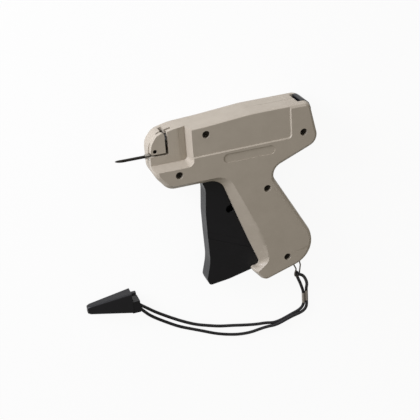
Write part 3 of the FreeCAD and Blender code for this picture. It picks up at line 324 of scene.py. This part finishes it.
lowerRoute = (
    (119.6, -153.2, 1.4), (119.5, -156.2, 2.0), (118.0, -159.2, 3.3), (114.0, -161.8, 3.7),
    (107.0, -163.1, 3.7), (101.8, -164.7, 3.7), (96.5, -166.5, 3.7), (91.0, -168.0, 3.5),
    (85.6, -168.3, 2.4), (79.5, -169.5, 1.3), (71.0, -170.7, 1.25), (61.0, -169.8, 1.25),
    (51.0, -167.1, 1.25), (41.5, -163.5, 1.25), (32.0, -158.6, 1.25), (22.5, -154.0, 1.25),
    (13.0, -149.2, 1.25), (4.0, -143.0, 1.25), (-1.5, -138.9, 1.4), (-5.6, -135.3, 2.4),
    (-9.8, -130.8, 4.0), (-13.6, -125.6, 6.0), (-16.2, -121.9, 7.2),
)


def cordCurve(name, route):
    data = bpy.data.curves.new(name, "CURVE")
    data.dimensions = "3D"
    data.resolution_u = cord["resolution"]
    data.bevel_depth = cord["diameter"] / 2
    data.bevel_resolution = cord["roundness"]
    data.use_fill_caps = True
    spline = data.splines.new("NURBS")
    spline.points.add(len(route) - 1)
    for point, (x, y, height) in zip(spline.points, route):
        spot = tablePoint(x, y, height)
        point.co = (spot.x, spot.y, spot.z, 1)
    spline.order_u = 3
    spline.use_endpoint_u = True
    piece = bpy.data.objects.new(name, data)
    bpy.context.scene.collection.objects.link(piece)
    data.materials.append(cordBraid)
    return piece


def routeLength(piece):
    # the length of the smooth line itself, without its thickness
    plain = piece.copy()
    plain.data = piece.data.copy()
    plain.data.bevel_depth = 0
    bpy.context.scene.collection.objects.link(plain)
    bpy.context.view_layer.update()
    line = bpy.data.meshes.new_from_object(plain.evaluated_get(bpy.context.evaluated_depsgraph_get()))
    spots = [v.co.copy() for v in line.vertices]
    bpy.data.objects.remove(plain)
    return sum((b - a).length for a, b in zip(spots, spots[1:]))


loopCord = cordCurve("lanyardLoop", loopRoute)
upperCord = cordCurve("lanyardUpperStrand", upperRoute)
lowerCord = cordCurve("lanyardLowerStrand", lowerRoute)
crimp = copyOfNode("crimp_ferrule", "crimpFerrule", edgeMm=0.5, segments=3)
finishPiece(crimp, "case", crimpMetal, "crimp_metal", "crimp_ferrule")
cap = copyOfNode("needle_cap", "needleCap", edgeMm=0.4, segments=3)
finishPiece(cap, "case", blackAbs, "black_plastic", "needle_cap")
for piece, node, route, end, extras in (
    (loopCord, "lanyard_loop", loopRoute, "object", []),
    (upperCord, "lanyard_upper_strand", upperRoute, "object", []),
    (lowerCord, "lanyard_lower_strand", lowerRoute, "fitting", [cap]),
):
    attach(piece, "case")
    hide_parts(node)
    length = routeLength(piece)
    print(piece.name, "length %.4f" % length)
print("cords laid")

# Recess behind the nose: its floor falls away in a slow curve towards the rear wall
recess = {"start": 18.5, "end": 26.45, "low": -5.85, "high": 21.0, "floor": 5.0, "corner": 2.45,
          "deep": 1.8, "over": 0.6, "bow": 25.0, "bowY": 5.0, "bowLength": 60.0}
cornerX = recess["end"] - recess["corner"]
cornerY = recess["low"] + recess["corner"]
foot = recess["floor"] - recess["deep"]
crown = recess["floor"] + recess["over"]
slope = boxCutter((recess["start"], recess["low"], foot), (cornerX, recess["high"], crown))
rearStrip = boxCutter((recess["start"], cornerY, foot), (recess["end"], recess["high"], crown))
applyBoolean(slope, rearStrip, "UNION")
roundCorner = rodCutter((cornerX, cornerY, (foot + crown) / 2), recess["corner"], crown - foot)
applyBoolean(slope, roundCorner, "UNION")
bow = rodCutter((recess["start"], recess["bowY"], recess["floor"] - recess["bow"]), recess["bow"],
                recess["bowLength"], alongY=True)
applyBoolean(slope, bow, "DIFFERENCE")

# Notch in the top of the nose, where the fasteners enter
notch = {"front": 10.0, "rear": 12.9, "foot": 11.5, "top": 21.0, "far": -7.6, "near": 0.6}


def notchCutter():
    return boxCutter((notch["front"], notch["foot"], notch["far"]),
                     (notch["rear"], notch["top"], notch["near"]))


# Parting line: a fine groove along the top of the case, in straight runs between these spots
seam = {"depth": 0.45, "width": 0.24, "over": 1,
        "spots": ((19.0, 18.2), (41.0, 19.5), (72.0, 22.3), (113.0, 22.7))}
seamCutters = []
for (x0, y0), (x1, y1) in zip(seam["spots"], seam["spots"][1:]):
    runLength = math.hypot(x1 - x0, y1 - y0)
    runTurn = math.degrees(math.atan2(y1 - y0, x1 - x0))
    runLow = (x0, y0 - seam["depth"], 0)
    runHigh = (x0 + runLength, y0 + seam["over"], seam["width"])
    seamCutters.append(boxCutter(runLow, runHigh, turnZ=runTurn, pivot=(x0, y0, 0)))

# Case and lock lever
case = {"edge": 0.35, "leverEdge": 0.4}
leftCase = copyOfNode("left_shell", "leftCase", case["edge"], cutters=[slope, notchCutter()] + seamCutters)
finishPiece(leftCase, "case", caseAbs, "case_plastic", "left_shell")
rightCase = copyOfNode("right_shell", "rightCase", case["edge"], cutters=[notchCutter()])
finishPiece(rightCase, "case", caseAbs, "case_plastic", "right_shell")
lockLever = copyOfNode("needle_lock_lever", "lockLever", case["leverEdge"])
finishPiece(lockLever, "lock_lever", caseAbs, "case_plastic", "needle_lock_lever")

# Trigger, with a shallow band across its side, and the thumb button
band = {"x": 52.5, "y": -74.3, "half": 22.0, "width": 5.2, "side": 6.0, "depth": 0.35, "over": 2,
        "turn": -24.5}
bandLow = (band["x"] - band["half"], band["y"] - band["width"] / 2, band["side"] - band["depth"])
bandHigh = (band["x"] + band["half"], band["y"] + band["width"] / 2, band["side"] + band["over"])
trigger = copyOfNode("trigger", "triggerMoulding", edgeMm=0.5, segments=3,
                     cutters=[boxCutter(bandLow, bandHigh, turnZ=band["turn"])])
finishPiece(trigger, "trigger", blackAbs, "black_plastic", "trigger")
button = copyOfNode("release_button", "thumbButton", edgeMm=0.6, segments=3)
finishPiece(button, "release_button", blackAbs, "black_plastic", "release_button")

# Five cross-headed screws: the heads sit a little under the side of the case, their dark steel partly painted
# hole shade
screwPlaces = ((17.3, -12.8), (38.6, 13.0), (110.1, 1.4), (81.0, -36.1), (94.3, -94.8))
screwHead = {"radius": 2.3, "foot": 9.0, "top": 12.0, "rim": 0.25, "over": 1,
             "crossHalf": 0.3, "crossReach": 1.35, "crossDepth": 0.9, "firstTurn": 20.0, "nextTurn": 31.0}
screws = copyOfNode("shell_screws", "caseScrews", edgeMm=0.15)
finishPiece(screws, "case", screwSteelWithHoleShade, "steel", "shell_screws")
for index, (x, y) in enumerate(screwPlaces):
    deselectAll()
    middle = (screwHead["foot"] + screwHead["top"]) / 2
    bpy.ops.mesh.primitive_cylinder_add(vertices=48, radius=screwHead["radius"] / mmPerMetre,
                                        depth=(screwHead["top"] - screwHead["foot"]) / mmPerMetre,
                                        location=toolPoint(x, y, middle))
    head = bpy.context.object
    head.name = "screwHead%d" % index
    bpy.ops.object.transform_apply(location=True, rotation=True, scale=True)
    for long, short in ((screwHead["crossReach"], screwHead["crossHalf"]),
                        (screwHead["crossHalf"], screwHead["crossReach"])):
        arm = boxCutter((x - long, y - short, screwHead["top"] - screwHead["crossDepth"]),
                        (x + long, y + short, screwHead["top"] + screwHead["over"]),
                        turnZ=screwHead["firstTurn"] + screwHead["nextTurn"] * index, pivot=(x, y, 0))
        applyBoolean(head, arm, "DIFFERENCE")
    makeActive(head)
    softenEdges(head, screwHead["rim"], segments=3)
    bpy.ops.object.shade_smooth_by_angle(angle=math.radians(smoothAngle))
    finishPiece(head, "case", screwSteelWithHoleShade, "steel")

# Needle with its collar, and the wire eye of the lanyard
needle = copyOfNode("needle", "slottedNeedle")
finishPiece(needle, "case", needleSteel, "needle_steel", "needle")
base = copyOfNode("needle_base", "needleBase", edgeMm=0.12)
finishPiece(base, "case", collarSteel, "needle_steel", "needle_base")
clip = copyOfNode("lanyard_clip", "wireClip")
finishPiece(clip, "case", wireSteel, "steel", "lanyard_clip")
print("case and trigger dressed")

# The rigid pieces inside the case keep their solids and get real finishes
insideFinishes = {
    "drive_lever": greyNylon, "slider": greyNylon, "feed_wheel": greyNylon, "feed_pawl": greyNylon,
    "lock_lever_pin": pinSteel, "trigger_pivot_pin": brightSteel, "drive_lever_pin": brightSteel,
    "trigger_roller_pin": brightSteel, "slider_pin": brightSteel, "push_rod": brightSteel,
    "feed_wheel_axle": brightSteel, "feed_pawl_pin": brightSteel, "cutter_blade": brightSteel,
    "release_bar": brightSteel,
}
for name, material in insideFinishes.items():
    for slotItem in nodes[name].material_slots:
        slotItem.material = material

# The return spring reaches from its post in the grip to the drive lever; the button's spring gets a mesh of
# its own
returnSpring = copyOfNode("return_spring", "returnSpring")
dressPiece(returnSpring, brightSteel, "steel", "return_spring")
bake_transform(returnSpring)
buttonSpring = copyOfNode("button_spring", "buttonSpring")
finishPiece(buttonSpring, "case", brightSteel, "steel", "button_spring")
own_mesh(buttonSpring)
print("inside dressed")

# Stage: a pale floor that the camera sees as white, and that gives the object less light
stage = {"floorSize": 3.0, "floorColour": "#f4f4f4", "floorGlow": 0.35, "seenGlow": 0.92}
deselectAll()
bpy.ops.mesh.primitive_plane_add(size=stage["floorSize"], location=(0, 0, 0))
floor = bpy.context.object
floor.name = "paleFloor"
floorPaint = newMaterial("paleFloorPaint")
rays = addNode(floorPaint, "ShaderNodeLightPath")
seen = addNode(floorPaint, "ShaderNodeMath", {"operation": "MAXIMUM"},
               {0: rays.outputs["Is Camera Ray"], 1: rays.outputs["Is Glossy Ray"]})
seenThrough = addNode(floorPaint, "ShaderNodeMath", {"operation": "MAXIMUM"},
                      {0: seen.outputs[0], 1: rays.outputs["Is Transmission Ray"]})
share = addNode(floorPaint, "ShaderNodeMapRange", {"To Min": stage["floorGlow"], "To Max": stage["seenGlow"]},
                {"Value": seenThrough.outputs[0]})
matte = addNode(floorPaint, "ShaderNodeBsdfDiffuse", {"Color": sRgb(stage["floorColour"])})
glow = addNode(floorPaint, "ShaderNodeEmission", {"Color": (1, 1, 1, 1), "Strength": 1.0})
mixed = addNode(floorPaint, "ShaderNodeMixShader", None,
                {0: share.outputs[0], 1: matte.outputs[0], 2: glow.outputs[0]})
finishMaterial(floorPaint, mixed)
floor.data.materials.append(floorPaint)

# Room: soft warm light that is stronger from the nose and the top, and a white background
room = {"brightSide": (-0.62, 0.75, 0.2), "darkEnd": -0.8, "brightEnd": 0.9, "dark": 0.1, "bright": 0.76,
        "colour": (1.0, 0.96, 0.89, 1)}
world = bpy.data.worlds.new("softRoom")
bpy.context.scene.world = world
world.use_nodes = True
world.node_tree.nodes.clear()
worldRays = addNode(world, "ShaderNodeLightPath")
worldSeen = addNode(world, "ShaderNodeMath", {"operation": "MAXIMUM"},
                    {0: worldRays.outputs["Is Camera Ray"], 1: worldRays.outputs["Is Transmission Ray"]})
facing = addNode(world, "ShaderNodeTexCoord")
towardsKey = addNode(world, "ShaderNodeVectorMath", {"operation": "DOT_PRODUCT", 1: room["brightSide"]},
                     {0: facing.outputs["Generated"]})
roomStrength = addNode(world, "ShaderNodeMapRange",
                       {"From Min": room["darkEnd"], "From Max": room["brightEnd"],
                        "To Min": room["dark"], "To Max": room["bright"]},
                       {"Value": towardsKey.outputs["Value"]})
roomLight = addNode(world, "ShaderNodeBackground", {"Color": room["colour"]},
                    {"Strength": roomStrength.outputs[0]})
roomSeen = addNode(world, "ShaderNodeBackground", {"Color": (1, 1, 1, 1), "Strength": 1.0})
worldMix = addNode(world, "ShaderNodeMixShader", None,
                   {0: worldSeen.outputs[0], 1: roomLight.outputs[0], 2: roomSeen.outputs[0]})
addNode(world, "ShaderNodeOutputWorld", None, {"Surface": worldMix.outputs[0]})

# Key lamp: a slightly cool disc, low on the side of the nose and the top
key = {"direction": (-0.76, 0.6, 0.22), "distance": 0.9, "size": 0.5, "watts": 9.4,
       "colour": (0.97, 1.0, 1.13)}
lampData = bpy.data.lights.new("keyLamp", "AREA")
lampData.shape = "DISK"
lampData.size = key["size"]
lampData.energy = key["watts"]
lampData.color = key["colour"]
lamp = bpy.data.objects.new("keyLamp", lampData)
bpy.context.scene.collection.objects.link(lamp)
aim = Vector(key["direction"]).normalized()
lampTurn = aim.to_track_quat("Z", "Y").to_matrix().to_4x4()
lamp.matrix_world = Matrix.Translation(aim * key["distance"]) @ lampTurn
bpy.context.scene.view_settings.view_transform = "Standard"
print("stage lit")
